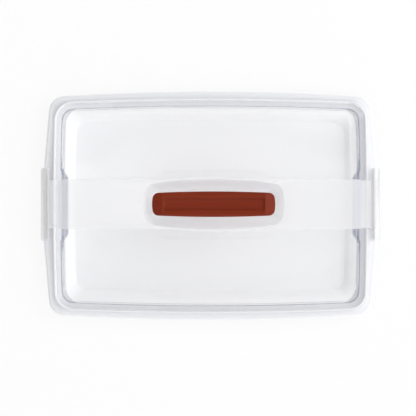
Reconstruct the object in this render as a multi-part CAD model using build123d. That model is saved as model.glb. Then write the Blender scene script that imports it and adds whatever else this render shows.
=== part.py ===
from build123d import *
from math import hypot, sqrt
import os

# Rectangular cake carrier: a shallow tray, a tall clear lid, and a strap with a grip that runs
# over the lid from end to end and hooks under the tray's ears with a pinned clip at each end.
# The lid opens about the left clip's pin once the right clip is swung out.
# Millimetres. Origin on the table under the centre of the tray, +X towards the right clip,
# +Y towards the back, +Z up.

# ---- tray ----
tray_foot_height = 3.4
tray_wall = 2.4
basin_mouth_inset = (6.8, 6.5)         # from the foot of the lid's walls to the basin's mouth
basin_lean = 10.0                      # how far the basin's walls lean in towards its floor
basin_corner = 16.0
basin_corner_spread = 2.0              # how much wider the corner's radius is at the mouth
basin_foot_round = 3.0
basin_floor_round = 2.4
seat_z = 21.8                          # the lid's flange rests here
ridge_height = 4.2                     # above the seat
ridge_wall = 2.0
ridge_round = 0.8
lip_top_z = 24.0
lip_chamfer = (2.6, 1.6)               # along the lip, down the skirt
skirt_bottom_z = 15.0
skirt_lean = 1.3                       # how far the skirt leans in towards its top
rim_side_reach = 9.9                   # from the ridge to the rim's edge, at a long side's middle
rim_bow = 7.4                          # how far the long sides bulge
rim_corner_reach = 4.8                 # from the ridge to the rim's ends, beside the ears
ear_reach = 13.1                       # from the ridge to the ear's edge
ear_half_width = 48.0
ear_blend = 14.0
rim_corner = 21.0
rim_edge_round = 1.0
gusset_thickness = 1.8
gusset_gap = 1.8                       # between the gussets' ends and the skirt's outside
gusset_spacing = 22.0
gusset_count = 5
foot_inset = 9.0                       # from the edge of the basin's floor
foot_width = 3.0
foot_corner = 12.0

# ---- lid ----
lid_wall = 2.0
lid_foot_half = (196.8, 131.0)         # foot of the walls, outside
lid_foot_bow = (2.4, 4.8)
lid_foot_corner = 14.0
lid_lean = (12.6, 4.0)                 # how far the walls lean in towards the top
lid_crown_bow = (2.2, 4.4)
lid_crown_corner = 21.0
lid_top_z = 105.0
lid_shoulder = 11.0
flange_width = 7.8
flange_thickness = 2.2
flange_round = 0.8
flange_gap = 0.6                       # between the flange and the tray's ridge
seat_gap = 0.2                         # between the flange and its seat
pocket_floor_half = 37.0                # the pockets that give the strap's ends room, along Y
pocket_mouth_half = 48.0
pocket_depth = 7.6
pocket_corner = 8.0
wall_root_round = 1.4                  # where the walls meet the flange

# ---- strap ----
strap_thickness = 2.8
strap_half_width = 31.5
strap_play = 2.0                       # the strap lies this far to the back of its channel's middle
strap_edge_round = 0.8
strap_wall_gap = 0.6                   # between the strap and the lid's end walls
strap_over_lid = 1.0                   # how far the strap's top stands above the lid's
strap_shoulder = 9.0                   # inside radius
strap_foot_bend = 6.0                  # radius of the strap's upper face at the foot
channel_gap = 0.3                      # between the strap and the bottom of its channel
channel_side_gap = 3.6                 # each side of the channel, for the strap's play
well_gap = 0.3                         # between the strap's well and the lid's
pad_side_gap = 1.0                     # round the well's pad

# ---- finger well and grip ----
well_centre_x = 4.0
well_half = (89.0, 32.2)
well_bow = (3.0, 7.5)
well_corner = 15.0
well_floor_half = (75.0, 20.5)
well_floor_bow = (2.0, 3.5)
well_floor_corner = 11.0
well_depth = 28.6
well_wall = 2.2
well_lip_round = 1.1
well_floor_round = 6.0
well_pad_width = 2.4
grip_half = (78.0, 16.15)
grip_bow = (2.0, 1.9)
grip_corner = 8.0
grip_top_z = 111.0
grip_height = 11.4                     # from its underside, over the fingers, to its top
grip_base_height = 3.8                 # of the lower of the grip's two halves
grip_wall = 2.4
grip_end_fall = 5.0                    # how far the top slopes down at each end
grip_end_length = 13.0
grip_side_chamfer = (3.4, 2.6)         # across the top, down the side
grip_base_round = 2.6
grip_edge_round = 0.9
grip_fit = 0.15                        # between the base's rim and the cover's wall
grip_rim_height = 1.1                  # of the base's rim, inside the cover
thumb_panel_half = (65.0, 7.1)
thumb_panel_depth = 0.6
thumb_panel_corner = 5.0
pedestal_x = 64.0                      # from the middle of the grip
pedestal_top_half = (6.5, 10.5)
pedestal_foot_half = (8.0, 12.5)
pedestal_corner = 3.2
pedestal_wall = 2.2
screw_radius = 2.0
screw_length = 11.0
screw_head_radius = 3.8
screw_head_height = 2.4
screw_head_round = 0.8
screw_slot = (4.0, 1.1, 1.1)           # the cross recess: length, width, depth
screw_clearance = 0.25
screw_pilot_gap = 0.05
boss_wall = 2.2
boss_gap = 0.3                         # between a boss and the grip's base
pilot_depth_gap = 0.5                  # between a screw's tip and the end of its hole

# ---- clips and their hinges ----
clip_half_width = 47.75
clip_wall = 2.2
clip_gap = 0.7                         # between the clip and the tray's skirt
clip_bottom_z = 6.5
clip_flare = 1.9                       # how far the finger tab leans out
hook_reach = 3.2                       # how far the hook goes under the skirt
hook_thickness = 2.2
hook_swing_gap = 0.2                   # between the hook and the skirt's edge as it swings by
hinge_inset = 5.6                      # from the ear's edge to the hinge's axis
barrel_radius = 3.2
barrel_over_lip = 1.3                  # gap between the barrel and the tray's lip
pin_radius = 1.5
pin_running_gap = 0.06
pin_inset = 2.0                        # how far each end of the pin lies inside the barrel
knuckle_gap = 0.4                      # between the strap's knuckle and the clip's, all round
clip_corner = 3.0                      # seen from the end
clip_edge_round = 3.2                  # seen from above
clip_bend_round = 1.6
clip_neck = 4.4                        # from the hinge's axis down to the clip's shoulder
clip_shoulder = 0.6                    # how far the shoulder lies in from the clip's face
tab_lip = 0.6                          # rounding off of the finger tab's edge
hook_lip = 0.9                         # chamfer under the hook's tip
pin_chamfer = 0.3

# ---- what follows from them ----
lid_floor_z = seat_z + seat_gap                      # underside of the flange
flange_top_z = lid_floor_z + flange_thickness
lid_crown_half = tuple(half - lean for half, lean in zip(lid_foot_half, lid_lean))
basin_mouth_half = tuple(half - inset for half, inset in zip(lid_foot_half, basin_mouth_inset))
basin_floor_half = tuple(half - basin_lean for half in basin_mouth_half)
ridge_inner_half = tuple(half + flange_width + flange_gap for half in lid_foot_half)
ridge_outer_half = tuple(half + ridge_wall for half in ridge_inner_half)
rim_half_depth = ridge_outer_half[1] + rim_side_reach
rim_corner_half_length = ridge_outer_half[0] + rim_corner_reach
ear_half_length = ridge_outer_half[0] + ear_reach
ridge_top_z = seat_z + ridge_height
floor_top_z = tray_foot_height + tray_wall
strap_under_z = lid_top_z + strap_over_lid - strap_thickness
strap_top_z = lid_top_z + strap_over_lid
hinge_z = lip_top_z + barrel_over_lip + barrel_radius
clip_inner_x = ear_half_length + clip_gap
clip_outer_x = clip_inner_x + clip_wall
hinge_x = ear_half_length - hinge_inset
strap_end_x = hinge_x - barrel_radius - knuckle_gap
well_floor_z = strap_top_z - well_depth
grip_base_z = grip_top_z - grip_height
grip_split_z = grip_base_z + grip_base_height
end_wall_slope = lid_lean[0] / (lid_top_z - flange_top_z)
side_wall_slope = lid_lean[1] / (lid_top_z - flange_top_z)
past = 1.0                                           # how far a cutting form runs past its face
clear = 40.0                                         # how far one that opens outwards runs


def bowed_outline(half, bow, corner):
    """Face with four bulging sides: half sizes at the sides' middles, and rounded corners."""
    corner_x, corner_y = half[0] - bow[0], half[1] - bow[1]
    sides = [
        ThreePointArc((corner_x, -corner_y), (half[0], 0), (corner_x, corner_y)),
        ThreePointArc((corner_x, corner_y), (0, half[1]), (-corner_x, corner_y)),
        ThreePointArc((-corner_x, corner_y), (-half[0], 0), (-corner_x, -corner_y)),
        ThreePointArc((-corner_x, -corner_y), (0, -half[1]), (corner_x, -corner_y)),
    ]
    face = make_face(sides)
    return fillet(face.vertices(), corner)


def rounded_panel(half, corner):
    """Rectangular face with rounded corners."""
    return fillet(Rectangle(2 * half[0], 2 * half[1]).vertices(), corner)


def grown(half, by):
    """A pair of half sizes with the same amount added to each."""
    return (half[0] + by, half[1] + by)


def slab(face, low_z, high_z):
    """The face pulled straight up from low_z to high_z."""
    return extrude(Pos(0, 0, low_z) * face, amount=high_z - low_z, dir=(0, 0, 1))


def frustum(low_face, low_z, high_face, high_z):
    """Straight-sided form between two outlines."""
    return loft([Pos(0, 0, low_z) * low_face, Pos(0, 0, high_z) * high_face], ruled=True)


def edges_at(form, z, reach=0.02):
    """Edges of the form that lie wholly at one height."""
    return form.edges().filter_by_position(Axis.Z, z - reach, z + reach)


def opening_in(form, z):
    """Edges round the opening in the form's largest flat face at one height."""
    level = form.faces().filter_by(Axis.Z).filter_by_position(Axis.Z, z - 0.02, z + 0.02)
    return level.sort_by(SortBy.AREA)[-1].inner_wires()[0].edges()


def both_ends(form):
    """The form and its mirror image at the other end."""
    return form + mirror(form, about=Plane.YZ)


# ------------------------------------------------------------------ tray
def rim_outline(inset):
    """Outer edge of the tray's rim, with the ears, moved in by inset."""
    corner_y = rim_half_depth - rim_bow
    back = ThreePointArc(
        (-rim_corner_half_length, corner_y), (0, rim_half_depth), (rim_corner_half_length, corner_y)
    )
    right = Polyline(
        (rim_corner_half_length, corner_y),
        (ear_half_length, ear_half_width),
        (ear_half_length, -ear_half_width),
        (rim_corner_half_length, -corner_y),
    )
    front = ThreePointArc(
        (rim_corner_half_length, -corner_y), (0, -rim_half_depth), (-rim_corner_half_length, -corner_y)
    )
    left = Polyline(
        (-rim_corner_half_length, -corner_y),
        (-ear_half_length, -ear_half_width),
        (-ear_half_length, ear_half_width),
        (-rim_corner_half_length, corner_y),
    )
    face = make_face([back, right, front, left])
    corners = face.vertices().filter_by(lambda v: abs(v.Y) > ear_half_width + 1)
    face = fillet(corners, rim_corner)
    ears = face.vertices().filter_by(lambda v: abs(abs(v.Y) - ear_half_width) < 0.01)
    face = fillet(ears, ear_blend)
    return offset(face, -inset) if inset else face


def seat_outline(half, by=0.0):
    """Outline that runs parallel to the lid's foot, for the flange, seat and ridge."""
    return bowed_outline(grown(half, by), lid_foot_bow, lid_foot_corner + half[0] + by - lid_foot_half[0])


def make_tray():
    lip = frustum(rim_outline(0), skirt_bottom_z, rim_outline(skirt_lean), lip_top_z)
    lip = chamfer(edges_at(lip, lip_top_z), lip_chamfer[0], lip_chamfer[1])
    lip = fillet(edges_at(lip, lip_top_z), rim_edge_round)
    under_lean = skirt_lean / (lip_top_z - skirt_bottom_z)
    hollow = frustum(
        rim_outline(tray_wall - under_lean * past), skirt_bottom_z - past,
        rim_outline(tray_wall + skirt_lean), lip_top_z - tray_wall,
    )
    seat_block = slab(seat_outline(ridge_outer_half), seat_z - tray_wall, lip_top_z)
    lip -= hollow - seat_block
    basin = frustum(
        bowed_outline(grown(basin_floor_half, tray_wall), lid_foot_bow, basin_corner),
        tray_foot_height,
        bowed_outline(
            grown(basin_mouth_half, tray_wall), lid_foot_bow, basin_corner + basin_corner_spread
        ),
        seat_z - 0.5 * tray_wall,
    )
    basin = fillet(edges_at(basin, tray_foot_height), basin_foot_round)
    ridge = slab(seat_outline(ridge_outer_half), seat_z - past, ridge_top_z)
    tray = lip + basin + ridge
    room_slope = basin_lean / (seat_z - floor_top_z)
    room = frustum(
        bowed_outline(basin_floor_half, lid_foot_bow, basin_corner - tray_wall),
        floor_top_z,
        bowed_outline(
            grown(basin_mouth_half, room_slope * past),
            lid_foot_bow,
            basin_corner + basin_corner_spread - tray_wall,
        ),
        seat_z + past,
    )
    room = fillet(edges_at(room, floor_top_z), basin_floor_round)
    tray -= room
    tray -= slab(seat_outline(ridge_inner_half), seat_z, ridge_top_z + past)
    tray = fillet(edges_at(tray, ridge_top_z), ridge_round)
    foot_half = grown(basin_floor_half, -foot_inset)
    foot = slab(bowed_outline(foot_half, lid_foot_bow, foot_corner), 0, tray_foot_height + past)
    foot -= slab(
        bowed_outline(grown(foot_half, -foot_width), lid_foot_bow, foot_corner - foot_width),
        -past, tray_foot_height,
    )
    tray += foot
    first_y = -gusset_spacing * (gusset_count - 1) / 2
    low_x, high_x = basin_mouth_half[0], ear_half_length - gusset_gap
    low_z, high_z = skirt_bottom_z, lip_top_z - tray_wall
    for number in range(gusset_count):
        middle = Pos((low_x + high_x) / 2, first_y + number * gusset_spacing, (low_z + high_z) / 2)
        gusset = middle * Box(high_x - low_x, gusset_thickness, high_z - low_z)
        tray += both_ends(gusset - room)
    return tray


# ------------------------------------------------------------------ strap's line, in XZ
def strap_corners(rise):
    """Corners of the strap's right half, offset outwards from its underside by rise."""
    slant = hypot(1, end_wall_slope)
    foot_z = hinge_z - strap_thickness / 2 + rise
    crown_z = strap_under_z + rise

    def wall_x(z):
        wall = lid_foot_half[0] - end_wall_slope * (z - flange_top_z)
        return wall + (strap_wall_gap + rise) * slant

    return (strap_end_x, foot_z), (wall_x(foot_z), foot_z), (wall_x(crown_z), crown_z)


def strap_line(rise):
    """The strap's whole line from end to end, offset outwards from its underside by rise."""
    end, foot, crown = strap_corners(rise)
    points = [end, foot, crown, (-crown[0], crown[1]), (-foot[0], foot[1]), (-end[0], end[1])]
    foot_bend = strap_foot_bend + strap_thickness - rise
    radii = [foot_bend, strap_shoulder + rise, strap_shoulder + rise, foot_bend]
    return FilletPolyline(*points, radius=radii)


def make_band():
    """The plain band of the strap, before its well and knuckles."""
    under, over = strap_line(0), strap_line(strap_thickness)
    ends = [Line(under @ 0, over @ 0), Line(under @ 1, over @ 1)]
    section = make_face([under, over] + ends)
    band = extrude(Plane.XZ * section, amount=strap_half_width, both=True)
    long_edges = band.edges().filter_by(
        lambda e: abs(abs(e.center().Y) - strap_half_width) < 0.01 and e.length > strap_thickness + 0.1
    )
    return fillet(long_edges, strap_edge_round)


def channel_cutter(inset):
    """What the strap's channel takes out of the lid; inset is the wall left above the inside."""
    line = strap_line(-channel_gap - inset)
    start, finish = line @ 0, line @ 1
    far_x, far_z = start.X + clear, lid_top_z + clear
    outside = Polyline(
        (start.X, start.Y), (far_x, start.Y), (far_x, far_z), (-far_x, far_z), (-far_x, finish.Y),
        (finish.X, finish.Y),
    )
    section = make_face([line, outside])
    half_width = strap_half_width + channel_side_gap + inset
    return extrude(Plane.XZ * section, amount=half_width, both=True)


# ------------------------------------------------------------------ finger well
def well_form(grow, floor_drop, top_z):
    """The well's dish as a solid, grown sideways by grow, its floor lowered by floor_drop."""
    slope = ((well_half[0] - well_floor_half[0]) / well_depth,
             (well_half[1] - well_floor_half[1]) / well_depth)
    floor_z = well_floor_z - floor_drop
    above = top_z - strap_top_z
    top_half = (well_half[0] + grow + slope[0] * above, well_half[1] + grow + slope[1] * above)
    dish = frustum(
        bowed_outline(grown(well_floor_half, grow), well_floor_bow, well_floor_corner + grow),
        floor_z,
        bowed_outline(top_half, well_bow, well_corner + grow),
        top_z,
    )
    return fillet(edges_at(dish, floor_z), well_floor_round + grow)


def well_room():
    """What the well takes out of the strap, with a rounded lip."""
    room = well_form(0, 0, strap_top_z) + slab(pad_outline(0), strap_top_z, strap_top_z + past)
    return fillet(opening_in(room, strap_top_z), well_lip_round)


def on_strap(form):
    """Moves a form made round the grip's middle to its place on the strap."""
    return Pos(well_centre_x, strap_play, 0) * form


def pad_outline(by):
    return bowed_outline(grown(well_half, well_pad_width + by), well_bow, well_corner + well_pad_width + by)


# ------------------------------------------------------------------ lid
def pocket_outline(inset):
    """Outline of the right-hand pocket, widening outwards, with its walls moved in by inset."""
    flare = (pocket_mouth_half - pocket_floor_half) / pocket_depth
    floor_x = lid_foot_half[0] - pocket_depth - inset
    floor_half = pocket_floor_half + inset * (hypot(1, flare) - flare)
    far_half = floor_half + flare * clear
    face = make_face(Polyline(
        (floor_x, floor_half), (floor_x, -floor_half), (floor_x + clear, -far_half),
        (floor_x + clear, far_half), close=True,
    ))
    return fillet(face.vertices().sort_by(Axis.X)[:2], pocket_corner + inset)


def lid_form(inset, low_z):
    """The lid's outer form (inset 0) or the room inside it (inset lid_wall)."""
    slopes = (end_wall_slope, side_wall_slope)
    drop = flange_top_z - low_z
    foot_half = tuple(half + slope * drop - inset for half, slope in zip(lid_foot_half, slopes))
    crown_half = tuple(half + (slope - 1) * inset for half, slope in zip(lid_crown_half, slopes))
    top_z = lid_top_z - inset
    form = frustum(
        bowed_outline(foot_half, lid_foot_bow, lid_foot_corner - inset),
        low_z,
        bowed_outline(crown_half, lid_crown_bow, lid_crown_corner - inset),
        top_z,
    )
    form = fillet(edges_at(form, top_z), lid_shoulder - inset)
    form -= both_ends(slab(pocket_outline(inset), 0, lid_top_z))
    form -= channel_cutter(inset)
    pad_room = slab(
        pad_outline(pad_side_gap + inset), strap_under_z - channel_gap - inset, strap_top_z + past
    )
    well_room = well_form(well_wall + well_gap + inset, well_wall + well_gap + inset, strap_top_z + past)
    return form - on_strap(pad_room) - on_strap(well_room)


def make_lid():
    flange = slab(seat_outline(lid_foot_half, flange_width), lid_floor_z, flange_top_z)
    flange = fillet(edges_at(flange, flange_top_z), flange_round)
    lid = flange + lid_form(0, flange_top_z - 0.5 * flange_thickness)
    lid = fillet(opening_in(lid, flange_top_z), wall_root_round)
    return lid - lid_form(lid_wall, lid_floor_z - past)


# ------------------------------------------------------------------ strap
def pedestal(grow, low_z, top_z):
    """One of the two posts that carry the grip, grown sideways by grow, at the right."""
    foot = rounded_panel(grown(pedestal_foot_half, grow), pedestal_corner + grow)
    top = rounded_panel(grown(pedestal_top_half, grow), pedestal_corner + grow)
    return Pos(pedestal_x, 0, 0) * frustum(foot, low_z, top, top_z)


def upright(radius, low_z, high_z):
    """A cylinder at the right-hand pedestal's middle."""
    return Pos(pedestal_x, 0, (low_z + high_z) / 2) * Cylinder(radius, high_z - low_z)


def across(radius, low_y, high_y):
    """A cylinder along the right-hand hinge's axis, between two places across the strap."""
    middle = Pos(hinge_x, (low_y + high_y) / 2, hinge_z)
    return middle * Cylinder(radius, high_y - low_y, rotation=(90, 0, 0))


def strap_knuckle():
    """The knuckle at the strap's right end, between the clip's two, with the web that carries it."""
    web = Pos((strap_end_x - past + hinge_x) / 2, 0, hinge_z) * Box(
        hinge_x - strap_end_x + past, 2 * strap_half_width, strap_thickness
    )
    return web + across(barrel_radius, -strap_half_width, strap_half_width)


def make_strap():
    strap = Pos(0, strap_play, 0) * (make_band() + both_ends(strap_knuckle()))
    bore = across(pin_radius + pin_running_gap, -clip_half_width, clip_half_width)
    strap -= Pos(0, strap_play, 0) * both_ends(bore)
    strap += on_strap(slab(pad_outline(0), strap_under_z, strap_top_z))
    strap += on_strap(well_form(well_wall, well_wall, strap_top_z))
    posts = both_ends(pedestal(0, well_floor_z - 0.5 * well_wall, grip_base_z))
    cores = both_ends(pedestal(-pedestal_wall, well_floor_z - well_wall - past, grip_base_z - pedestal_wall))
    strap -= on_strap(well_room())
    strap += on_strap(posts)
    strap -= on_strap(cores)
    hole = upright(screw_radius + screw_clearance, grip_base_z - pedestal_wall - past, grip_base_z + past)
    strap -= on_strap(both_ends(hole))
    return strap


# ------------------------------------------------------------------ grip
def grip_outline(by=0.0):
    return bowed_outline(grown(grip_half, by), grip_bow, grip_corner + by)


def grip_crown(inset):
    """The cover's outer form (inset 0) or the room inside it."""
    body = slab(grip_outline(-inset), grip_split_z - (past if inset else 0), grip_top_z - inset)
    high = grip_top_z - inset
    foot = grip_split_z - 2 * past
    end_half, side_half = grown(grip_half, past)
    side_y, side_z = grip_side_chamfer
    side_low = high - side_z * (side_y + past) / side_y
    plateau_half = grip_half[1] - side_y
    section = Polyline(
        (-side_half, foot), (-side_half, side_low), (-plateau_half, high), (plateau_half, high),
        (side_half, side_low), (side_half, foot), close=True,
    )
    body &= extrude(Plane.YZ * make_face(section), amount=end_half, both=True)
    end_low = high - grip_end_fall * (grip_end_length + past) / grip_end_length
    fall_start = grip_half[0] - grip_end_length
    profile = Polyline(
        (-end_half, foot), (-end_half, end_low), (-fall_start, high), (fall_start, high),
        (end_half, end_low), (end_half, foot), close=True,
    )
    return body & extrude(Plane.XZ * make_face(profile), amount=side_half, both=True)


def make_grip_cover():
    cover = grip_crown(0)
    crown_low = grip_top_z - grip_end_fall - grip_side_chamfer[1]
    top_edges = cover.edges().filter_by(lambda e: e.center().Z > crown_low + 0.3)
    cover = fillet(top_edges, grip_edge_round)
    panel = rounded_panel(thumb_panel_half, thumb_panel_corner)
    cover -= slab(panel, grip_top_z - thumb_panel_depth, grip_top_z + past)
    room = grip_crown(grip_wall)
    boss_radius = screw_radius + boss_wall
    room -= both_ends(upright(boss_radius, grip_split_z - 2 * past, grip_top_z))
    cover -= room
    pilot_top = grip_base_z - pedestal_wall + screw_length + pilot_depth_gap
    cover -= both_ends(upright(screw_radius + screw_pilot_gap, grip_split_z - past, pilot_top))
    return on_strap(cover)


def make_grip_base():
    plate = slab(grip_outline(), grip_base_z, grip_split_z)
    plate = fillet(edges_at(plate, grip_base_z), grip_base_round)
    rim_top = grip_split_z + grip_rim_height
    rim = slab(grip_outline(-grip_wall - grip_fit), grip_split_z - past, rim_top)
    plate += rim - slab(grip_outline(-2 * grip_wall), grip_split_z - 2 * past, rim_top + past)
    boss_room = upright(screw_radius + boss_wall + boss_gap, grip_split_z, rim_top + past)
    hole = upright(screw_radius + screw_clearance, grip_base_z - past, rim_top + past)
    return on_strap(plate - both_ends(hole) - both_ends(boss_room))


def make_grip_screws():
    seat = grip_base_z - pedestal_wall
    shank = upright(screw_radius, seat - 0.5 * screw_head_height, seat + screw_length)
    head = upright(screw_head_radius, seat - screw_head_height, seat)
    head = fillet(edges_at(head, seat - screw_head_height), screw_head_round)
    long, wide, deep = screw_slot
    slots = Box(long, wide, 2 * deep) + Box(wide, long, 2 * deep)
    recess = Pos(pedestal_x, 0, seat - screw_head_height) * slots
    return on_strap(both_ends(shank + head - recess))


# ------------------------------------------------------------------ clips and pins
def make_clip():
    """The right-hand clip, in its closed place."""
    swing = hypot(ear_half_length - hinge_x, hinge_z - skirt_bottom_z) + hook_swing_gap
    hook_tip_x = ear_half_length - hook_reach
    hook_top_z = hinge_z - sqrt(swing ** 2 - (hook_tip_x - hinge_x) ** 2)
    hook_under_z = hook_top_z - hook_thickness
    tab_x = clip_outer_x + clip_flare
    tab = Polyline(
        (hinge_x + 0.75 * barrel_radius, hinge_z + 0.1 * barrel_radius),
        (clip_outer_x - clip_shoulder, hinge_z - clip_neck),
        (clip_outer_x, skirt_bottom_z + tab_lip),
        (tab_x, clip_bottom_z + tab_lip),
        (tab_x - tab_lip, clip_bottom_z),
        (tab_x - clip_wall, clip_bottom_z + tab_lip),
        (clip_inner_x + tab_lip, hook_under_z),
        (hook_tip_x + hook_lip, hook_under_z),
        (hook_tip_x, hook_under_z + hook_lip),
        (hook_tip_x, hook_top_z),
        (clip_inner_x, hook_top_z),
        (clip_inner_x, hinge_z - clip_neck - 0.5 * clip_wall),
        (hinge_x + 0.2 * barrel_radius, hinge_z - 0.8 * barrel_radius),
        close=True,
    )
    section = make_face(tab)
    bends = section.vertices().filter_by(
        lambda v: v.X > clip_inner_x - 0.1 and hook_top_z + 1 < v.Y < hinge_z
    )
    section = fillet(bends, clip_bend_round)
    clip = extrude(Plane.XZ * section, amount=clip_half_width, both=True)
    clip += across(barrel_radius, -clip_half_width, clip_half_width)
    face_height = hinge_z + barrel_radius - clip_bottom_z
    face = rounded_panel((clip_half_width, face_height / 2), clip_corner)
    face = Pos(0, clip_bottom_z + face_height / 2) * face
    clip &= extrude(Plane.YZ * face, amount=tab_x + past)
    top_view = rounded_panel((tab_x, clip_half_width), clip_edge_round)
    clip &= slab(top_view, 0, hinge_z + clear)
    knuckle_end = strap_half_width + knuckle_gap
    clip -= across(barrel_radius + knuckle_gap, -knuckle_end, knuckle_end)
    end = clip_half_width + past
    clip -= across(pin_radius + pin_running_gap, -end, end)
    return Pos(0, strap_play, 0) * clip


def make_pin():
    """The right-hand clip's pin."""
    end = clip_half_width - pin_inset
    pin = across(pin_radius, -end, end)
    return Pos(0, strap_play, 0) * chamfer(pin.edges().filter_by(GeomType.CIRCLE), pin_chamfer)


# ------------------------------------------------------------------ the nodes
right_clip = make_clip()
right_pin = make_pin()
parts = {
    "tray": make_tray(),
    "lid": make_lid(),
    "strap": make_strap(),
    "grip_cover": make_grip_cover(),
    "grip_base": make_grip_base(),
    "grip_screws": make_grip_screws(),
    "right_clip": right_clip,
    "left_clip": mirror(right_clip, about=Plane.YZ),
    "right_hinge_pin": right_pin,
    "left_hinge_pin": mirror(right_pin, about=Plane.YZ),
}

os.makedirs("parts", exist_ok=True)
for name, solid in parts.items():
    export_step(solid, f"parts/{name}.step")
    print(name, round(solid.volume / 1000, 1), "cm3", len(solid.solids()), "solids")
print("hinge axis x", hinge_x, "z", hinge_z)
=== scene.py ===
"""Rectangular cake carrier: a milky tray, a tall clear lid and a frosted strap with a red-brown grip.

X runs along the strap, from the left clip to the right one, Y to the back and Z up. Names that end
in _mm hold millimetres, and other lengths are metres.
"""
import logging
import math
from dataclasses import dataclass
from enum import Enum
from typing import Any

import bmesh
import bpy
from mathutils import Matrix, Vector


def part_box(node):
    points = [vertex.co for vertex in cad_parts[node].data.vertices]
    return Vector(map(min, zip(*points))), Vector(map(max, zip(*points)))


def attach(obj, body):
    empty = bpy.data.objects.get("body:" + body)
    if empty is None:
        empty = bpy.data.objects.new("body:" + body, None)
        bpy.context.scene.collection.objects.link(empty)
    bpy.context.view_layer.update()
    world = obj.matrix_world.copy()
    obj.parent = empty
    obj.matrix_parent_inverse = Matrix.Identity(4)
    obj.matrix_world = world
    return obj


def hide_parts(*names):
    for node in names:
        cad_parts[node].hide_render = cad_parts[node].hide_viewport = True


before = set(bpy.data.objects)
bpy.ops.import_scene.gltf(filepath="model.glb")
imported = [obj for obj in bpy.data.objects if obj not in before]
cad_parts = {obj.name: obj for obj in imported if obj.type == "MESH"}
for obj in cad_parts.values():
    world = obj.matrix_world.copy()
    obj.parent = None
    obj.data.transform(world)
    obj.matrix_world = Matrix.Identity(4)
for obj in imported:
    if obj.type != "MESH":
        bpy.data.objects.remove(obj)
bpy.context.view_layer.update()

log = logging.getLogger("cake_carrier")

Material = bpy.types.Material
Node = bpy.types.Node
Piece = bpy.types.Object
Point = tuple[float, float, float]
Source = bpy.types.NodeSocket | bpy.types.Node
Tree = bpy.types.NodeTree

MM = 0.001
WHITE = (1.0, 1.0, 1.0, 1.0)
POLYPROPYLENE_IOR = 1.49
# Two directions whose cosine is above this count as one.
SAME_WAY = 0.99
# Edges sharper than this stay sharp when a piece is shaded smoothly.
CREASE_DEGREES = 32.0
# Corners closer than this are one corner.
WELD_MM = 0.001
# Open ends of a band: lower than any length in millimetres, and higher than any share.
NO_LOW, NO_HIGH = -1000.0, 2.0
# A Mix node has inputs and outputs for each type of value, and they are told apart by number.
NUMBER_A, NUMBER_B = 2, 3
COLOUR_A, COLOUR_B, COLOUR_OUT = 6, 7, 2


class Slot(Enum):
    """The record's material slots."""

    MILKY = "milky_polypropylene"
    CLEAR = "clear_styrene_acrylonitrile"
    FROSTED = "frosted_polypropylene"
    RED_BROWN = "red_brown_polypropylene"
    STEEL = "stainless_steel"


class Body(Enum):
    """The bodies that the pieces ride on."""

    TRAY = "tray"
    LID = "lid"
    LEFT_CLIP = "left_clip"
    RIGHT_CLIP = "right_clip"


class Side(Enum):
    """The two ends of the carrier."""

    LEFT = "left"
    RIGHT = "right"


# ---------------------------------------------------------------- nodes
def linear(hex_colour: str) -> tuple[float, float, float, float]:
    """Turns an sRGB hex colour to Blender's linear values, by the curve of the sRGB standard.

    Args:
        hex_colour: six hex digits after a #.

    Returns:
        Linear red, green, blue and an alpha of 1.
    """
    digits = hex_colour.lstrip("#")
    shares = [int(digits[start:start + 2], 16) / 255 for start in (0, 2, 4)]
    red, green, blue = (s / 12.92 if s <= 0.04045 else ((s + 0.055) / 1.055) ** 2.4 for s in shares)
    return red, green, blue, 1.0


def add_node(
    tree: Tree,
    kind: str,
    settings: dict[str | int, Any] | None = None,
    links: dict[str | int, Source] | None = None,
) -> Node:
    """Adds one shader node.

    Args:
        tree: the node tree that it joins.
        kind: Blender's type name of the node.
        settings: values for its inputs, by name or number, or for its own properties, by name.
        links: what feeds its inputs, by name or number: an output, or a node for its first output.

    Returns:
        The new node.
    """
    node = tree.nodes.new(kind)
    for name, value in (settings or {}).items():
        if isinstance(name, str) and hasattr(node, name):
            setattr(node, name, value)
        else:
            node.inputs[name].default_value = value
    for name, source in (links or {}).items():
        output = source.outputs[0] if isinstance(source, Node) else source
        tree.links.new(output, node.inputs[name])
    return node


def blank_tree(owner: Material | bpy.types.World) -> Tree:
    """Gives a material or world an empty node tree.

    Args:
        owner: the material or world.

    Returns:
        Its node tree.
    """
    owner.use_nodes = True
    owner.node_tree.nodes.clear()
    return owner.node_tree


def share_of_rays(tree: Tree, *kinds: str) -> Source:
    """Adds nodes that tell some kinds of rays from the rest.

    Args:
        tree: the node tree.
        kinds: the rays' names, as the Light Path node gives them.

    Returns:
        The share, 1 for these rays and 0 for others.
    """
    path = add_node(tree, "ShaderNodeLightPath").outputs
    share = path[kinds[0]]
    for kind in kinds[1:]:
        share = add_node(
            tree, "ShaderNodeMath", {"operation": "MAXIMUM"}, {0: share, 1: path[kind]}
        )
    return share


def one_sided(tree: Tree, surface: Source) -> Node:
    """Lets a wall act once, where light enters it, and not again where light leaves it.

    Args:
        tree: the material's node tree.
        surface: the shader of the wall.

    Returns:
        The shader with its inner side made clear.
    """
    leaving = add_node(tree, "ShaderNodeNewGeometry").outputs["Backfacing"]
    through = add_node(tree, "ShaderNodeBsdfTransparent", {"Color": WHITE})
    return add_node(tree, "ShaderNodeMixShader", links={0: leaving, 1: surface, 2: through})


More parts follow.
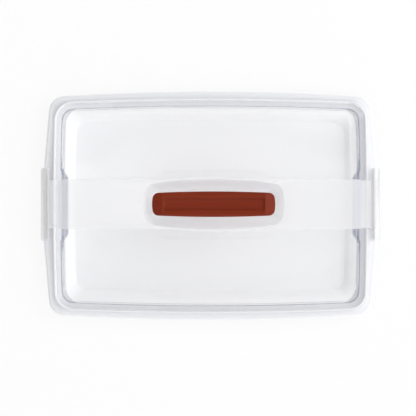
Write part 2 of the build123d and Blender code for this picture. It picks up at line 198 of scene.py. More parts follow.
@dataclass(frozen=True)
class Band:
    """A range of a value with soft edges, as a mask in a material. Its numbers are in its unit."""

    low: float
    high: float
    soft: float
    inside: float = 1.0
    unit: float = MM

    def mask(self, tree: Tree, value: Source) -> Node:
        """Adds the mask's nodes.

        Args:
            tree: the material's node tree.
            value: the length or share that is tested.

        Returns:
            The node that gives the band's inside value in it, and 0 further out than its edges.
        """
        rise, fall = (
            add_node(
                tree,
                "ShaderNodeMapRange",
                {
                    "interpolation_type": "SMOOTHSTEP",
                    "From Min": outer * self.unit,
                    "From Max": inner * self.unit,
                    "To Max": top,
                },
                {"Value": value},
            )
            for outer, inner, top in (
                (self.low - self.soft, self.low, self.inside),
                (self.high + self.soft, self.high, 1.0),
            )
        )
        return add_node(tree, "ShaderNodeMath", {"operation": "MULTIPLY"}, {0: rise, 1: fall})


# ---------------------------------------------------------------- finishes
@dataclass(frozen=True)
class MouldGrain:
    """Fine grain that a spark-eroded mould leaves on a plastic surface.

    The real grain is a tenth of a millimetre wide, and is drawn coarser here so that it shows.
    """

    pitch_mm: float
    depth_mm: float
    strength: float
    detail: float = 3.0
    roughness: float = 0.6

    def bump(self, tree: Tree) -> Node:
        """Adds the grain's nodes.

        Args:
            tree: the material's node tree.

        Returns:
            The node that gives the bumped normal.
        """
        place = add_node(tree, "ShaderNodeTexCoord").outputs["Object"]
        grain = add_node(
            tree,
            "ShaderNodeTexNoise",
            {
                "Scale": 1 / (self.pitch_mm * MM),
                "Detail": self.detail,
                "Roughness": self.roughness,
            },
            {"Vector": place},
        )
        return add_node(
            tree,
            "ShaderNodeBump",
            {"Strength": self.strength, "Distance": self.depth_mm * MM},
            {"Height": grain.outputs["Fac"]},
        )


@dataclass(frozen=True)
class MilkyPolypropylene:
    """Natural polypropylene, injection moulded: waxy satin, and light bleeds a little way into it.

    The tray's floor lies close to the ground and throws its light back. The rim stands free and lets
    some of the light through. From its height up the colour is painted greyer, as painted shade.
    """

    colour: str = "#FCFDFF"
    shade: str = "#F8F9FC"
    # painted shade: the grey that the colour is multiplied by from the rim's height up, and the heights
    # where it sets in
    painted_rim_shade: str = "#EDEDEF"
    painted_shade_from_mm: float = 22.1
    painted_shade_to_mm: float = 23.2
    roughness: float = 0.36
    specular: float = 0.35
    glow_share: float = 0.4
    glow_reach: tuple[float, float, float] = (1.0, 0.97, 0.93)
    glow_depth_mm: float = 6.0
    flow_width_mm: float = 70.0
    flow_detail: float = 2.0
    grain: MouldGrain = MouldGrain(pitch_mm=0.9, depth_mm=0.03, strength=0.35)

    def build(self) -> Material:
        """Makes the material, with faint clouding along the melt's flow and painted shade on the rim.

        Returns:
            The material.
        """
        material = bpy.data.materials.new(Slot.MILKY.value)
        tree = blank_tree(material)
        place = add_node(tree, "ShaderNodeTexCoord").outputs["Object"]
        clouds = add_node(
            tree,
            "ShaderNodeTexNoise",
            {"Scale": 1 / (self.flow_width_mm * MM), "Detail": self.flow_detail},
            {"Vector": place},
        )
        clouded = add_node(
            tree,
            "ShaderNodeMix",
            {"data_type": "RGBA", COLOUR_A: linear(self.shade), COLOUR_B: linear(self.colour)},
            {0: clouds.outputs["Fac"]},
        )
        height = add_node(tree, "ShaderNodeSeparateXYZ", links={0: place}).outputs["Z"]
        # painted shade: from the rim's height up, the colour is multiplied greyer
        painted_shade_mask = add_node(
            tree,
            "ShaderNodeMapRange",
            {
                "interpolation_type": "SMOOTHSTEP",
                "From Min": self.painted_shade_from_mm * MM,
                "From Max": self.painted_shade_to_mm * MM,
            },
            {"Value": height},
        )
        tint = add_node(
            tree,
            "ShaderNodeMix",
            {"data_type": "RGBA", "blend_type": "MULTIPLY", COLOUR_B: linear(self.painted_rim_shade)},
            {0: painted_shade_mask, COLOUR_A: clouded.outputs[COLOUR_OUT]},
        )
        shader = add_node(
            tree,
            "ShaderNodeBsdfPrincipled",
            {
                "Roughness": self.roughness,
                "IOR": POLYPROPYLENE_IOR,
                "Specular IOR Level": self.specular,
                "Subsurface Weight": self.glow_share,
                "Subsurface Radius": self.glow_reach,
                "Subsurface Scale": self.glow_depth_mm * MM,
            },
            {"Base Color": tint.outputs[COLOUR_OUT], "Normal": self.grain.bump(tree)},
        )
        add_node(tree, "ShaderNodeOutputMaterial", links={"Surface": shader})
        return material


@dataclass(frozen=True)
class ClearStyreneAcrylonitrile:
    """Styrene acrylonitrile from a polished mould: glass clear, cool, and navy where it is thick and
    where shade is painted.

    Where the wall is seen edge-on the eye looks through centimetres of resin, which are navy. The same
    navy is painted by place as painted shade, on top of the thick resin: at the root of the walls, at
    the foot of the strap's pockets, and up the pockets' sides where they are seen at a grazing angle.
    """

    face: str = "#FBFCFD"
    slanted: str = "#D8DCE8"
    # navy of resin seen edge-on, and also the colour of the painted shade
    thick_and_shade: str = "#4A5688"
    face_veil: float = 0.03
    slanted_veil: float = 0.25
    thick_and_shade_veil: float = 0.66
    thick_and_shade_gloss: float = 0.25
    slant_power: float = 4.0
    forward_share: float = 0.5
    roughness: float = 0.05
    ior: float = 1.57
    # painted shade: bands where navy is painted by place, at the walls' root and in the strap's pockets
    root_shade_z: Band = Band(24.3, 25.6, 0.2, inside=0.97)
    pocket_shade_x: Band = Band(186.6, 196.0, 0.6, inside=0.9)
    pocket_shade_y: Band = Band(NO_LOW, 47.5, 1.5)
    pocket_wall_shade_z: Band = Band(24.6, 76.0, 2.0)
    pocket_foot_shade_z: Band = Band(0.0, 27.0, 1.5)
    grazing: Band = Band(0.8, NO_HIGH, 0.2, unit=1.0)
    edge_on: Band = Band(0.985, NO_HIGH, 0.03, inside=0.5, unit=1.0)

    def thickness(self, tree: Tree, facing: Source) -> Node:
        """Adds nodes that find where the resin looks thick, seen edge-on, and where navy shade is
        painted.

        Args:
            tree: the material's node tree.
            facing: how far the surface turns away from the eye, 0 to 1.

        Returns:
            The node that gives the share of the thick places and the painted shade, 0 to 1.
        """
        place = add_node(tree, "ShaderNodeTexCoord").outputs["Object"]
        distance = add_node(
            tree, "ShaderNodeVectorMath", {"operation": "ABSOLUTE"}, {0: place}
        )
        away = add_node(tree, "ShaderNodeSeparateXYZ", links={0: distance}).outputs
        # painted shade: navy painted in the pockets, over their foot and their grazed sides
        walls = self.pocket_wall_shade_z.mask(tree, away["Z"])
        grazed = self.grazing.mask(tree, facing)
        foot = self.pocket_foot_shade_z.mask(tree, away["Z"])
        walls = add_node(tree, "ShaderNodeMath", {"operation": "MULTIPLY"}, {0: walls, 1: grazed})
        pocket_shade = add_node(tree, "ShaderNodeMath", {"operation": "MAXIMUM"}, {0: walls, 1: foot})
        for limit, axis in ((self.pocket_shade_x, "X"), (self.pocket_shade_y, "Y")):
            mask = limit.mask(tree, away[axis])
            pocket_shade = add_node(
                tree, "ShaderNodeMath", {"operation": "MULTIPLY"}, {0: pocket_shade, 1: mask}
            )
        # painted shade at the walls' root, joined with the resin seen edge-on
        thick_and_shade = self.root_shade_z.mask(tree, away["Z"])
        for other in (pocket_shade, self.edge_on.mask(tree, facing)):
            thick_and_shade = add_node(
                tree, "ShaderNodeMath", {"operation": "MAXIMUM"}, {0: thick_and_shade, 1: other}
            )
        return thick_and_shade

    def wall(self, tree: Tree, facing: Source, thick_and_shade: Node) -> Node:
        """Adds the resin under its skin: clear, with a veil that thickens with the slant, and a navy
        veil at the thick places and the painted shade.

        Args:
            tree: the material's node tree.
            facing: how far the surface turns away from the eye, 0 to 1.
            thick_and_shade: the share of the thick places and the painted shade.

        Returns:
            The wall's shader.
        """
        steep = add_node(
            tree, "ShaderNodeMath", {"operation": "POWER", 1: self.slant_power}, {0: facing}
        )
        thin_veil = add_node(
            tree,
            "ShaderNodeMapRange",
            {"To Min": self.face_veil, "To Max": self.slanted_veil},
            {"Value": steep},
        )
        thick_and_shade_veil = add_node(
            tree, "ShaderNodeMath", {"operation": "MULTIPLY", 1: self.thick_and_shade_veil}, {0: thick_and_shade}
        )
        veil = add_node(
            tree, "ShaderNodeMath", {"operation": "MAXIMUM"}, {0: thin_veil, 1: thick_and_shade_veil}
        )
        thin_tint = add_node(
            tree,
            "ShaderNodeMix",
            {"data_type": "RGBA", COLOUR_A: linear(self.face), COLOUR_B: linear(self.slanted)},
            {0: steep},
        )
        tint = add_node(
            tree,
            "ShaderNodeMix",
            {"data_type": "RGBA", COLOUR_B: linear(self.thick_and_shade)},
            {0: thick_and_shade, COLOUR_A: thin_tint.outputs[COLOUR_OUT]},
        ).outputs[COLOUR_OUT]
        lit = add_node(tree, "ShaderNodeBsdfDiffuse", links={"Color": tint})
        glow = add_node(tree, "ShaderNodeBsdfTranslucent", links={"Color": tint})
        body = add_node(tree, "ShaderNodeMixShader", {0: self.forward_share}, {1: lit, 2: glow})
        through = add_node(tree, "ShaderNodeBsdfTransparent", {"Color": WHITE})
        return add_node(tree, "ShaderNodeMixShader", links={0: veil, 1: through, 2: body})

    def build(self) -> Material:
        """Makes the material: the wall under a polished skin. Lamps and shadows pass it unchanged.

        Returns:
            The material.
        """
        material = bpy.data.materials.new(Slot.CLEAR.value)
        tree = blank_tree(material)
        facing = add_node(tree, "ShaderNodeLayerWeight").outputs["Facing"]
        thick_and_shade = self.thickness(tree, facing)
        wall = self.wall(tree, facing, thick_and_shade)
        skin = add_node(tree, "ShaderNodeBsdfGlossy", {"Roughness": self.roughness})
        fresnel = add_node(tree, "ShaderNodeFresnel", {"IOR": self.ior})
        gloss = add_node(
            tree,
            "ShaderNodeMapRange",
            {"To Min": 1.0, "To Max": self.thick_and_shade_gloss},
            {"Value": thick_and_shade},
        )
        shine = add_node(tree, "ShaderNodeMath", {"operation": "MULTIPLY"}, {0: fresnel, 1: gloss})
        polished = add_node(tree, "ShaderNodeMixShader", links={0: shine, 1: wall, 2: skin})
        lighting = share_of_rays(tree, "Is Shadow Ray", "Is Diffuse Ray")
        through = add_node(tree, "ShaderNodeBsdfTransparent", {"Color": WHITE})
        bright = add_node(
            tree, "ShaderNodeMixShader", links={0: lighting, 1: polished, 2: through}
        )
        add_node(tree, "ShaderNodeOutputMaterial", links={"Surface": one_sided(tree, bright)})
        return material


@dataclass(frozen=True)
class FrostedPolypropylene:
    """Clarified polypropylene from a blasted mould: a white haze with near things faint behind it."""

    colour: str = "#F7F7F9"
    edge: str = "#E4E6EE"
    roughness: float = 0.42
    clearness: float = 0.45
    slanted_clearness: float = 0.3
    shadow_clearness: float = 0.92
    slant_power: float = 2.5
    glow: float = 0.3
    grain: MouldGrain = MouldGrain(pitch_mm=0.7, depth_mm=0.03, strength=0.35)

    def build(self) -> Material:
        """Makes the material: satin white that lets light through both straight and scattered.

        Returns:
            The material.
        """
        material = bpy.data.materials.new(Slot.FROSTED.value)
        tree = blank_tree(material)
        facing = add_node(tree, "ShaderNodeLayerWeight").outputs["Facing"]
        steep = add_node(
            tree, "ShaderNodeMath", {"operation": "POWER", 1: self.slant_power}, {0: facing}
        )
        tint = add_node(
            tree,
            "ShaderNodeMix",
            {"data_type": "RGBA", COLOUR_A: linear(self.colour), COLOUR_B: linear(self.edge)},
            {0: steep},
        ).outputs[COLOUR_OUT]
        skin = add_node(
            tree,
            "ShaderNodeBsdfPrincipled",
            {"Roughness": self.roughness, "IOR": POLYPROPYLENE_IOR},
            {"Base Color": tint, "Normal": self.grain.bump(tree)},
        )
        scattered = add_node(tree, "ShaderNodeBsdfTranslucent", links={"Color": tint})
        hazy = add_node(tree, "ShaderNodeMixShader", {0: self.glow}, {1: skin, 2: scattered})
        seen_clear = add_node(
            tree,
            "ShaderNodeMapRange",
            {"To Min": self.clearness, "To Max": self.slanted_clearness},
            {"Value": steep},
        )
        lighting = share_of_rays(tree, "Is Shadow Ray", "Is Diffuse Ray")
        lit_clear = add_node(
            tree,
            "ShaderNodeMath",
            {"operation": "MULTIPLY", 1: self.shadow_clearness},
            {0: lighting},
        )
        clear = add_node(
            tree, "ShaderNodeMath", {"operation": "MAXIMUM"}, {0: seen_clear, 1: lit_clear}
        )
        straight = add_node(tree, "ShaderNodeBsdfTransparent", {"Color": WHITE})
        mixed = add_node(tree, "ShaderNodeMixShader", links={0: clear, 1: hazy, 2: straight})
        add_node(tree, "ShaderNodeOutputMaterial", links={"Surface": one_sided(tree, mixed)})
        return material


@dataclass(frozen=True)
class RedBrownPolypropylene:
    """Pigmented polypropylene, injection moulded: opaque, satin, with a fine leathery grain."""

    colour: str = "#802B10"
    streak: str = "#72230C"
    roughness: float = 0.38
    specular: float = 0.15
    streak_length_mm: float = 70.0
    streak_width_mm: float = 6.0
    streak_detail: float = 3.0
    grain: MouldGrain = MouldGrain(pitch_mm=0.8, depth_mm=0.04, strength=0.4)

    def build(self) -> Material:
        """Makes the material, with pigment streaks along the grip.

        Returns:
            The material.
        """
        material = bpy.data.materials.new(Slot.RED_BROWN.value)
        tree = blank_tree(material)
        place = add_node(tree, "ShaderNodeTexCoord").outputs["Object"]
        long, wide = (1 / (size * MM) for size in (self.streak_length_mm, self.streak_width_mm))
        stretched = add_node(
            tree, "ShaderNodeMapping", {"Scale": (long, wide, wide)}, {"Vector": place}
        )
        streaks = add_node(
            tree,
            "ShaderNodeTexNoise",
            {"Scale": 1.0, "Detail": self.streak_detail},
            {"Vector": stretched},
        )
        tint = add_node(
            tree,
            "ShaderNodeMix",
            {"data_type": "RGBA", COLOUR_A: linear(self.streak), COLOUR_B: linear(self.colour)},
            {0: streaks.outputs["Fac"]},
        )
        shader = add_node(
            tree,
            "ShaderNodeBsdfPrincipled",
            {
                "Roughness": self.roughness,
                "IOR": POLYPROPYLENE_IOR,
                "Specular IOR Level": self.specular,
            },
            {"Base Color": tint.outputs[COLOUR_OUT], "Normal": self.grain.bump(tree)},
        )
        add_node(tree, "ShaderNodeOutputMaterial", links={"Surface": shader})
        return material


@dataclass(frozen=True)
class DrawnSteel:
    """Stainless wire, cold drawn: bright, with fine lines along its length.

    Real drawing lines are hundredths of a millimetre apart, and are drawn coarser here.
    """

    colour: str = "#C9C8C5"
    smoothest: float = 0.2
    roughest: float = 0.4
    line_pitch_mm: float = 0.25
    line_length_mm: float = 15.0
    line_detail: float = 2.0

    def build(self) -> Material:
        """Makes the material, with drawing lines along Y.

        Returns:
            The material.
        """
        material = bpy.data.materials.new(Slot.STEEL.value)
        tree = blank_tree(material)
        place = add_node(tree, "ShaderNodeTexCoord").outputs["Object"]
        fine, long = (1 / (size * MM) for size in (self.line_pitch_mm, self.line_length_mm))
        stretched = add_node(
            tree, "ShaderNodeMapping", {"Scale": (fine, long, fine)}, {"Vector": place}
        )
        lines = add_node(
            tree,
            "ShaderNodeTexNoise",
            {"Scale": 1.0, "Detail": self.line_detail},
            {"Vector": stretched},
        )
        rough = add_node(
            tree,
            "ShaderNodeMapRange",
            {"To Min": self.smoothest, "To Max": self.roughest},
            {"Value": lines.outputs["Fac"]},
        )
        shader = add_node(
            tree,
            "ShaderNodeBsdfPrincipled",
            {"Base Color": linear(self.colour), "Metallic": 1.0},
            {"Roughness": rough},
        )
        add_node(tree, "ShaderNodeOutputMaterial", links={"Surface": shader})
        return material


# ---------------------------------------------------------------- modelling
def deselect() -> None:
    """Leaves nothing selected."""
    bpy.ops.object.select_all(action="DESELECT")


def take_up(piece: Piece) -> None:
    """Selects a piece alone, as the active one.

    Args:
        piece: the piece.
    """
    deselect()
    piece.select_set(True)
    bpy.context.view_layer.objects.active = piece


def pick_faces(piece: Piece, way: Point) -> None:
    """Selects the faces of a piece that look one way, in edit mode.

    Args:
        piece: the piece that is being edited.
        way: the faces' normal.
    """
    bpy.ops.mesh.select_mode(type="FACE")
    bpy.ops.mesh.select_all(action="DESELECT")
    shape = bmesh.from_edit_mesh(piece.data)
    for face in shape.faces:
        face.select_set(face.normal.dot(way) > SAME_WAY)
    bmesh.update_edit_mesh(piece.data)


def turned_rod(radius_mm: float, length_mm: float, centre_mm: Point, sides: int) -> Piece:
    """Adds an upright cylinder as the start of a turned part, selected alone.

    Args:
        radius_mm: its radius.
        length_mm: its length along Z.
        centre_mm: its centre.
        sides: its number of sides.

    Returns:
        The cylinder's object.
    """
    deselect()
    bpy.ops.mesh.primitive_cylinder_add(
        vertices=sides, radius=radius_mm * MM, depth=length_mm * MM,
        location=[value * MM for value in centre_mm],
    )
    return bpy.context.object


def round_end(piece: Piece, way: Point, width_mm: float, segments: int) -> None:
    """Rounds the rim of the flat face that looks one way.

    Args:
        piece: the piece, which is the active object.
        way: the face's normal.
        width_mm: how wide the rounding is.
        segments: how many faces it has across.
    """
    bpy.ops.object.mode_set(mode="EDIT")
    pick_faces(piece, way)
    bpy.ops.mesh.bevel(offset=width_mm * MM, segments=segments, affect="EDGES")
    bpy.ops.object.mode_set(mode="OBJECT")


def settle(piece: Piece) -> None:
    """Moves a piece's place, turn and scale to its mesh.

    Args:
        piece: the piece.
    """
    take_up(piece)
    bpy.ops.object.transform_apply(location=True, rotation=True, scale=True)


def copy_of(piece: Piece) -> Piece:
    """Copies a piece with its own mesh.

    Args:
        piece: what is copied.

    Returns:
        The copy, which is the active object.
    """
    take_up(piece)
    bpy.ops.object.duplicate()
    return bpy.context.object


def apply_to(piece: Piece, modifier: bpy.types.Modifier) -> None:
    """Turns what a modifier does to a piece into mesh.

    Args:
        piece: the piece.
        modifier: its modifier.
    """
    bpy.context.view_layer.update()
    take_up(piece)
    bpy.ops.object.modifier_apply(modifier=modifier.name)


def joined(pieces: list[Piece]) -> Piece:
    """Joins pieces to one at the origin, with its faces outwards and shaded smoothly.

    Args:
        pieces: what is joined.

    Returns:
        The one piece.
    """
    whole = pieces[0]
    take_up(whole)
    for piece in pieces[1:]:
        piece.select_set(True)
    if len(pieces) > 1:
        bpy.ops.object.join()
    settle(whole)
    bpy.ops.object.mode_set(mode="EDIT")
    bpy.ops.mesh.select_all(action="SELECT")
    bpy.ops.mesh.normals_make_consistent(inside=False)
    bpy.ops.object.mode_set(mode="OBJECT")
    bpy.ops.object.shade_smooth_by_angle(angle=math.radians(CREASE_DEGREES))
    return whole


def dress(
    piece: Piece, name: str, material: Material, body: Body
) -> None:
    """Names a piece, gives it its finish and puts it on its body.

    Args:
        piece: the piece's object.
        name: its name.
        material: its finish.
        body: the body that it rides on.
    """
    piece.name = name
    piece.data.materials.clear()
    piece.data.materials.append(material)
    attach(piece, body.value)
    log.info("%s: %d faces", name, len(piece.data.polygons))


# ---------------------------------------------------------------- studio
@dataclass(frozen=True)
class Lamp:
    """One square soft box that faces the carrier."""

    name: str
    place: Point
    size: float
    watts: float

    def hang(self) -> None:
        """Adds the lamp to the scene, out of the camera's sight."""
        data = bpy.data.lights.new(self.name, "AREA")
        data.shape = "SQUARE"
        data.size = self.size
        data.energy = self.watts
        lamp = bpy.data.objects.new(self.name, data)
        lamp.location = self.place
        x, y, z = self.place
        lamp.rotation_euler = (math.atan2(math.hypot(x, y), z), 0, math.atan2(x, -y))
        lamp.visible_camera = False
        bpy.context.scene.collection.objects.link(lamp)


@dataclass(frozen=True)
class Studio:
    """Camera, floor, sky and lamp."""

    camera_place: Point = (-0.0032, -0.0028, 2.1)
    lens_mm: float = 136.4
    sensor_mm: float = 36.0
    sight_end: float = 50.0
    floor_half: float = 6.0
    floor_colour: str = "#F4F4F4"
    floor_glow: float = 0.85
    sky_level: float = 0.915
    sky_slope: float = 0.42
    mirrored_level: float = 0.95
    mirrored_slope: float = 0.25
    bright_side: Point = (0.93, -0.5, 0.0)
    overhead: tuple[float, float] = (0.86, 0.985)
    overhead_level: float = 0.35
    lamp: Lamp = Lamp("key", (1.0, 0.35, 0.95), 0.9, 4.2)
    clear_walls: int = 24
    soft_bounces: int = 8

    def place_camera(self) -> None:
        """Puts the camera straight above the carrier."""
        data = bpy.data.cameras.new("camera")
        data.lens = self.lens_mm
        data.sensor_width = self.sensor_mm
        data.clip_end = self.sight_end
        camera = bpy.data.objects.new("camera", data)
        camera.location = self.camera_place
        bpy.context.scene.collection.objects.link(camera)
        bpy.context.scene.camera = camera

    def lay_floor(self) -> None:
        """Lays the floor: white to the camera, and it keeps a soft shadow."""
        deselect()
        bpy.ops.mesh.primitive_plane_add(size=2 * self.floor_half, location=(0, 0, 0))
        floor = bpy.context.object
        floor.name = "floor"
        material = bpy.data.materials.new("white_sweep")
        tree = blank_tree(material)
        paper = add_node(tree, "ShaderNodeBsdfDiffuse", {"Color": linear(self.floor_colour)})
        glow = add_node(tree, "ShaderNodeEmission", {"Color": WHITE, "Strength": 1.0})
        seen = share_of_rays(tree, "Is Camera Ray", "Is Glossy Ray", "Is Transmission Ray")
        share = add_node(
            tree, "ShaderNodeMath", {"operation": "MULTIPLY", 1: self.floor_glow}, {0: seen}
        )
        mixed = add_node(tree, "ShaderNodeMixShader", links={0: share, 1: paper, 2: glow})
        add_node(tree, "ShaderNodeOutputMaterial", links={"Surface": mixed})
        floor.data.materials.append(material)

    def light_sky(self) -> None:
        """Lights the world softly, more from the right and the front.

        The camera sees the sky white. In reflections it is near white too, but for a darker patch
        overhead, where the camera hangs.
        """
        world = bpy.data.worlds.new("sky")
        bpy.context.scene.world = world
        tree = blank_tree(world)
        ways = add_node(tree, "ShaderNodeTexCoord").outputs["Generated"]
        towards = add_node(
            tree,
            "ShaderNodeVectorMath",
            {"operation": "DOT_PRODUCT", 1: self.bright_side},
            {0: ways},
        ).outputs["Value"]
        lit, around = (
            add_node(
                tree,
                "ShaderNodeMath",
                {"operation": "MULTIPLY_ADD", 1: slope, 2: level},
                {0: towards},
            )
            for slope, level in (
                (self.sky_slope, self.sky_level),
                (self.mirrored_slope, self.mirrored_level),
            )
        )
        height = add_node(tree, "ShaderNodeSeparateXYZ", links={0: ways}).outputs["Z"]
        patch = add_node(
            tree,
            "ShaderNodeMapRange",
            {
                "interpolation_type": "SMOOTHSTEP",
                "From Min": self.overhead[0],
                "From Max": self.overhead[1],
                "To Min": 1.0,
                "To Max": self.overhead_level,
            },
            {"Value": height},
        )
        mirrored = add_node(
            tree, "ShaderNodeMath", {"operation": "MULTIPLY"}, {0: around, 1: patch}
        )
        unseen = add_node(
            tree,
            "ShaderNodeMix",
            {"data_type": "FLOAT"},
            {0: share_of_rays(tree, "Is Glossy Ray"), NUMBER_A: lit, NUMBER_B: mirrored},
        )
        strength = add_node(
            tree,
            "ShaderNodeMix",
            {"data_type": "FLOAT", NUMBER_B: 1.0},
            {0: share_of_rays(tree, "Is Camera Ray", "Is Transmission Ray"), NUMBER_A: unseen},
        )
        sky = add_node(tree, "ShaderNodeBackground", {"Color": WHITE}, {"Strength": strength})
        add_node(tree, "ShaderNodeOutputWorld", links={"Surface": sky})

    def build(self) -> None:
        """Sets the whole stage."""
        bpy.context.scene.view_settings.view_transform = "Standard"
        cycles = bpy.context.scene.cycles
        cycles.transparent_max_bounces = self.clear_walls
        cycles.diffuse_bounces = self.soft_bounces
        self.place_camera()
        self.lay_floor()
        self.light_sky()
        self.lamp.hang()


# ---------------------------------------------------------------- pieces
@dataclass(frozen=True)
class Moulding:
    """A piece whose form comes from the frame, as a welded copy that shades smoothly."""

    node: str
    body: Body
    slot: Slot

    def build(self, material: Material) -> None:
        """Copies the node, welds and smooths the copy, and puts it in the node's place.

        Args:
            material: its finish.
        """
        piece = copy_of(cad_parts[self.node])
        for key in [key for key in piece.keys() if key.startswith("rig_")]:
            del piece[key]
        bpy.ops.object.mode_set(mode="EDIT")
        bpy.ops.mesh.select_all(action="SELECT")
        bpy.ops.mesh.remove_doubles(threshold=WELD_MM * MM)
        bpy.ops.object.mode_set(mode="OBJECT")
        bpy.ops.object.shade_smooth_by_angle(angle=math.radians(CREASE_DEGREES))
        dress(piece, self.node + "_moulding", material, self.body)
        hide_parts(self.node)


@dataclass(frozen=True)
class EjectorMarks:
    """Shallow ringed discs that a mould's ejector pins leave, with the stub of the gate among them."""

    surface_z_mm: float
    places_mm: tuple[tuple[float, float], ...]
    gate_mm: tuple[float, float]
    radius_mm: float = 4.5
    proud_mm: float = 0.3
    ring_mm: float = 0.9
    sunk_mm: float = 0.15
    sides: int = 40
    gate_radius_mm: float = 1.4
    gate_proud_mm: float = 0.8
    gate_round_mm: float = 0.3
    gate_round_faces: int = 3
    gate_sides: int = 24
    root_mm: float = 0.1

    def hung_rod(
        self, place_mm: tuple[float, float], radius_mm: float, proud_mm: float, sides: int
    ) -> Piece:
        """Adds a rod that stands down from the surface and is rooted a little way in it.

        Args:
            place_mm: its place on the surface.
            radius_mm: its radius.
            proud_mm: how far it stands down.
            sides: its number of sides.

        Returns:
            The rod.
        """
        length_mm = proud_mm + self.root_mm
        centre_z_mm = self.surface_z_mm + self.root_mm - length_mm / 2
        return turned_rod(radius_mm, length_mm, (*place_mm, centre_z_mm), sides)

    def mark(self) -> Piece:
        """Makes the first disc: a rod's end, inset and pushed in.

        Returns:
            The disc.
        """
        disc = self.hung_rod(self.places_mm[0], self.radius_mm, self.proud_mm, self.sides)
        bpy.ops.object.mode_set(mode="EDIT")
        pick_faces(disc, (0, 0, -1))
        bpy.ops.mesh.inset(thickness=self.ring_mm * MM)
        # an inset with a depth keeps its faces in one order, which an extrusion doesn't
        bpy.ops.mesh.inset(thickness=0, depth=-self.sunk_mm * MM)
        bpy.ops.object.mode_set(mode="OBJECT")
        return disc

    def gate(self) -> Piece:
        """Makes the gate's stub, a short rod with a broken-off, rounded end.

        Returns:
            The stub.
        """
        stub = self.hung_rod(
            self.gate_mm, self.gate_radius_mm, self.gate_proud_mm, self.gate_sides
        )
        round_end(stub, (0, 0, -1), self.gate_round_mm, self.gate_round_faces)
        return stub

    def build(self) -> Piece:
        """Makes all the marks.

        Returns:
            The marks as one piece.
        """
        marks = [self.mark()]
        start_x, start_y = self.places_mm[0]
        for x, y in self.places_mm[1:]:
            marks.append(copy_of(marks[0]))
            bpy.ops.transform.translate(value=((x - start_x) * MM, (y - start_y) * MM, 0))
        return joined([*marks, self.gate()])


@dataclass(frozen=True)
class ThreadedScrew:
    """A pan-head screw for plastic, driven upwards: domed head, cross recess and a coarse thread."""

    place_mm: tuple[float, float]
    seat_z_mm: float
    tip_z_mm: float
    head_radius_mm: float = 3.8
    head_height_mm: float = 2.4
    head_round_mm: float = 1.7
    head_round_faces: int = 6
    head_sides: int = 48
    recess_mm: tuple[float, float, float] = (4.0, 1.1, 1.1)
    core_radius_mm: float = 1.45
    core_round_mm: float = 0.7
    core_round_faces: int = 3
    core_sides: int = 32
    core_in_head_mm: float = 0.2
    thread_radius_mm: float = 2.0
    thread_sunk_mm: float = 0.15
    thread_sides: int = 24
    pitch_mm: float = 1.4
    land_mm: float = 0.5
    plain_mm: float = 2.2
    point_mm: float = 1.2

    def head(self) -> Piece:
        """Makes the domed head and cuts the cross into it.

        Returns:
            The head.
        """
        x, y = self.place_mm
        low_mm = self.seat_z_mm - self.head_height_mm
        centre_mm = (x, y, self.seat_z_mm - self.head_height_mm / 2)
        head = turned_rod(self.head_radius_mm, self.head_height_mm, centre_mm, self.head_sides)
        round_end(head, (0, 0, -1), self.head_round_mm, self.head_round_faces)
        long, wide, deep = self.recess_mm
        for size in ((long, wide), (wide, long)):
            deselect()
            bpy.ops.mesh.primitive_cube_add(size=1.0, location=(x * MM, y * MM, low_mm * MM))
            blade = bpy.context.object
            blade.scale = (size[0] * MM, size[1] * MM, 2 * deep * MM)
            cut = head.modifiers.new("recess", "BOOLEAN")
            cut.operation = "DIFFERENCE"
            cut.object = blade
            apply_to(head, cut)
            take_up(blade)
            bpy.ops.object.delete()
        return head

    def shank(self) -> Piece:
        """Makes the core of the shank, with a blunt point.

        Returns:
            The core.
        """
        length_mm = self.tip_z_mm - self.seat_z_mm + self.core_in_head_mm
        centre_mm = (*self.place_mm, self.tip_z_mm - length_mm / 2)
        shank = turned_rod(self.core_radius_mm, length_mm, centre_mm, self.core_sides)
        round_end(shank, (0, 0, 1), self.core_round_mm, self.core_round_faces)
        return shank

    def thread(self) -> Piece:
        """Makes the thread: a three-cornered rib wound round the core, closed at both ends.

        The rib starts as a circle of three sides, which is turned upright with one corner outwards,
        squeezed to the thread's height and land, and wound about Z. At a radius of 1 it is 1.5 high
        and the root of 3 wide, and its centre is a third of its height from its foot.

        Returns:
            The thread.
        """
        x, y = self.place_mm
        start_mm = self.seat_z_mm + self.plain_mm
        turns = int((self.tip_z_mm - start_mm - self.point_mm) / self.pitch_mm)
        root_mm = self.core_radius_mm - self.thread_sunk_mm
        height_mm = self.thread_radius_mm - root_mm
        corners = 3
        deselect()
        bpy.ops.mesh.primitive_circle_add(
            vertices=corners,
            radius=1.0,
            location=((root_mm + height_mm / 3) * MM, 0, self.land_mm / 2 * MM),
            rotation=(-math.pi / 2, -math.pi / 2, 0),
        )
        rib = bpy.context.object
        rib.scale = (self.land_mm * MM / math.sqrt(3), height_mm * MM / 1.5, 1)
        settle(rib)
        wound = rib.modifiers.new("wound", "SCREW")
        wound.axis = "Z"
        wound.angle = math.tau
        wound.screw_offset = self.pitch_mm * MM
        wound.iterations = turns
        wound.steps = wound.render_steps = self.thread_sides
        wound.use_merge_vertices = False
        apply_to(rib, wound)
        rib.location = (x * MM, y * MM, start_mm * MM)
        bpy.ops.object.mode_set(mode="EDIT")
        bpy.ops.mesh.select_all(action="SELECT")
        bpy.ops.mesh.remove_doubles(threshold=WELD_MM * MM)
        bpy.ops.mesh.fill_holes(sides=corners)
        bpy.ops.object.mode_set(mode="OBJECT")
        return rib

    def build(self) -> Piece:
        """Makes the whole screw.

        Returns:
            The screw as one piece.
        """
        return joined([self.head(), self.shank(), self.thread()])


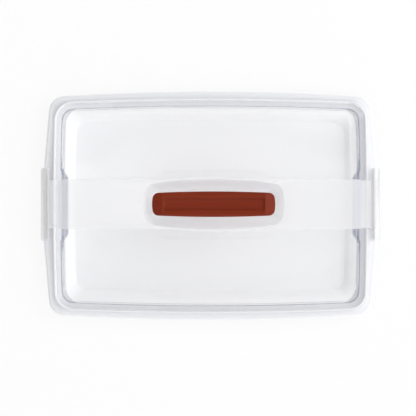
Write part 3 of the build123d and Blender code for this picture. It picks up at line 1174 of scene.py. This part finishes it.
@dataclass(frozen=True)
class HingePin:
    """A length of drawn wire with both ends rounded, in the place of the frame's pin.

    Both pins sit in the ends of the strap, so they ride on the lid.
    """

    node: str
    round_mm: float = 0.45
    round_faces: int = 3
    sides: int = 40

    def build(self, steel: Material) -> None:
        """Makes the pin along Y.

        Args:
            steel: the finish of the wire.
        """
        low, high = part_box(self.node)
        radius_mm = (high[2] - low[2]) / 2 / MM
        pin = turned_rod(radius_mm, (high[1] - low[1]) / MM, (0, 0, 0), self.sides)
        for way in ((0, 0, 1), (0, 0, -1)):
            round_end(pin, way, self.round_mm, self.round_faces)
        pin.rotation_euler = (math.pi / 2, 0, 0)
        pin.location = [(first + last) / 2 for first, last in zip(low, high)]
        dress(joined([pin]), self.node + "_wire", steel, Body.LID)
        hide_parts(self.node)


# ---------------------------------------------------------------- carrier
@dataclass(frozen=True)
class Tray:
    """The shallow tray with its ridge, rim, ears and foot ring."""

    underside_mm: float = 3.4
    mark_columns_mm: tuple[float, ...] = (-150.0, -50.0, 50.0, 150.0)
    mark_rows_mm: tuple[float, ...] = (-90.0, 0.0, 90.0)
    gate_mm: tuple[float, float] = (0.0, 0.0)

    def build(self, milky: Material) -> None:
        """Makes the tray, and the marks of moulding under its floor.

        Args:
            milky: the finish of its plastic.
        """
        Moulding("tray", Body.TRAY, Slot.MILKY).build(milky)
        places_mm = tuple((x, y) for x in self.mark_columns_mm for y in self.mark_rows_mm)
        marks = EjectorMarks(self.underside_mm, places_mm, self.gate_mm).build()
        dress(marks, "tray_ejector_marks", milky, Body.TRAY)


@dataclass(frozen=True)
class Lid:
    """The tall clear lid with its flange, channel, pockets and well."""

    well_underside_mm: float = 72.9
    mark_places_mm: tuple[tuple[float, float], ...] = ((-50.0, 2.0), (58.0, 2.0))
    mark_radius_mm: float = 3.0
    gate_mm: tuple[float, float] = (4.0, 2.0)

    def build(self, clear: Material) -> None:
        """Makes the lid, and the marks of moulding under its well.

        Args:
            clear: the finish of its plastic.
        """
        Moulding("lid", Body.LID, Slot.CLEAR).build(clear)
        marks = EjectorMarks(
            self.well_underside_mm, self.mark_places_mm, self.gate_mm, self.mark_radius_mm
        ).build()
        dress(marks, "lid_ejector_marks", clear, Body.LID)


@dataclass(frozen=True)
class Strap:
    """The frosted strap with its finger well and posts."""

    def build(self, frosted: Material) -> None:
        """Makes the strap.

        Args:
            frosted: the finish of its plastic.
        """
        Moulding("strap", Body.LID, Slot.FROSTED).build(frosted)


@dataclass(frozen=True)
class Grip:
    """The grip: a cover and a base, screwed together through the strap's posts."""

    screw_places_mm: tuple[tuple[float, float], ...] = ((-60.0, 2.0), (68.0, 2.0))
    screw_seat_mm: float = 97.4

    def build(self, brown: Material, steel: Material) -> None:
        """Makes the grip's halves and its screws.

        Args:
            brown: the finish of its plastic.
            steel: the finish of its screws.
        """
        for node in ("grip_cover", "grip_base"):
            Moulding(node, Body.LID, Slot.RED_BROWN).build(brown)
        tip_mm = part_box("grip_screws")[1][2] / MM
        screws = joined(
            [ThreadedScrew(place, self.screw_seat_mm, tip_mm).build() for place in self.screw_places_mm]
        )
        dress(screws, "grip_screws_threaded", steel, Body.LID)
        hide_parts("grip_screws")


@dataclass(frozen=True)
class Clip:
    """One clip with the pin that it turns on."""

    side: Side

    def build(self, frosted: Material, steel: Material) -> None:
        """Makes the clip and its pin.

        Args:
            frosted: the finish of the clip.
            steel: the finish of the pin.
        """
        end = self.side.value
        body = Body.LEFT_CLIP if self.side is Side.LEFT else Body.RIGHT_CLIP
        Moulding(end + "_clip", body, Slot.FROSTED).build(frosted)
        HingePin(end + "_hinge_pin").build(steel)


def main() -> None:
    """Builds the stage and the carrier, piece by piece."""
    logging.basicConfig(level=logging.INFO)
    Studio().build()
    frosted = FrostedPolypropylene().build()
    steel = DrawnSteel().build()
    Tray().build(MilkyPolypropylene().build())
    Lid().build(ClearStyreneAcrylonitrile().build())
    Strap().build(frosted)
    Grip().build(RedBrownPolypropylene().build(), steel)
    for side in Side:
        Clip(side).build(frosted, steel)


if __name__ == "__main__":
    main()
